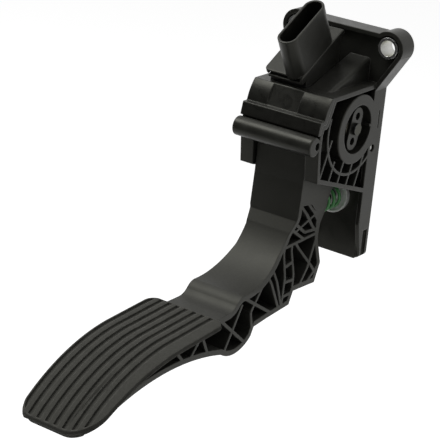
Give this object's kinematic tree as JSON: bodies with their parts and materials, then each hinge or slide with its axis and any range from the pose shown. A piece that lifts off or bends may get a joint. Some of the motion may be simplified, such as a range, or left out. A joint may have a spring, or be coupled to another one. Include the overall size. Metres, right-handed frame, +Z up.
{
  "type": "accelerator pedal sensor",
  "caption": "Hanging accelerator pedal module: moulded base that bolts to a bulkhead, trussed arm on a sprung cross pivot, ribbed foot pad, and a position sensor with a plug socket on top.",
  "frame": {"origin": "midpoint between the two bolt holes on the mounting face", "axes": "+X to the right across the bolt holes, +Y back into the bulkhead, +Z up"},
  "size_m": [0.079, 0.2494, 0.1838],
  "materials": {
    "base_plastic": "black glass-filled nylon, fine moulded grain",
    "cover_plastic": "black moulded plastic, satin",
    "sensor_plastic": "black moulded plastic, satin",
    "seal_rubber": "black foam rubber",
    "tinned_brass": "tin-plated contact blades",
    "board_laminate": "green board laminate",
    "chip_plastic": "black chip packages",
    "bonded_magnet": "dark bonded magnet",
    "bush_polymer": "natural bearing polymer",
    "shaft_steel": "dark oiled steel",
    "cap_plastic": "black moulded plastic",
    "arm_plastic": "black glass-filled nylon, satin",
    "pad_rubber": "charcoal ribbed rubber",
    "coated_spring": "spring wire with a green coat",
    "spring_steel": "bare spring wire",
    "cup_steel": "bright pressed steel",
    "lining_polymer": "tan friction lining",
    "stop_rubber": "black rubber",
    "sleeve_steel": "zinc-plated steel"
  },
  "bodies": {
    "base": {"base_housing": "base_plastic", "front_cover": "cover_plastic", "sensor_housing": "sensor_plastic", "sensor_seal": "seal_rubber", "connector_pins": "tinned_brass", "circuit_board": "board_laminate", "sensor_chips": "chip_plastic", "bush_right": "bush_polymer", "bush_left": "bush_polymer", "return_spring_outer": "coated_spring", "return_spring_inner": "spring_steel", "spring_cup": "cup_steel", "friction_lining": "lining_polymer", "idle_stop": "stop_rubber", "full_travel_stop": "stop_rubber", "mounting_sleeve_right": "sleeve_steel", "mounting_sleeve_left": "sleeve_steel", "side_pins": "sleeve_steel"},
    "pedal": {"pedal_arm": "arm_plastic", "pedal_pad": "pad_rubber", "pivot_shaft": "shaft_steel", "pivot_cap_right": "cap_plastic", "pivot_cap_left": "cap_plastic", "thrust_washer_right": "bush_polymer", "thrust_washer_left": "bush_polymer", "spring_seat": "cap_plastic", "rotor_magnet": "bonded_magnet"}
  },
  "joints": [
    {"name": "pedal_pivot", "type": "hinge", "parent": "base", "child": "pedal", "pos_m": [0, -0.027, -0.045], "axis": [1, 0, 0], "range_deg": [0, 15], "stiffness_Nm_per_rad": 6, "springref_deg": -28.65, "deforming": ["return_spring_outer", "return_spring_inner"]}
  ]
}
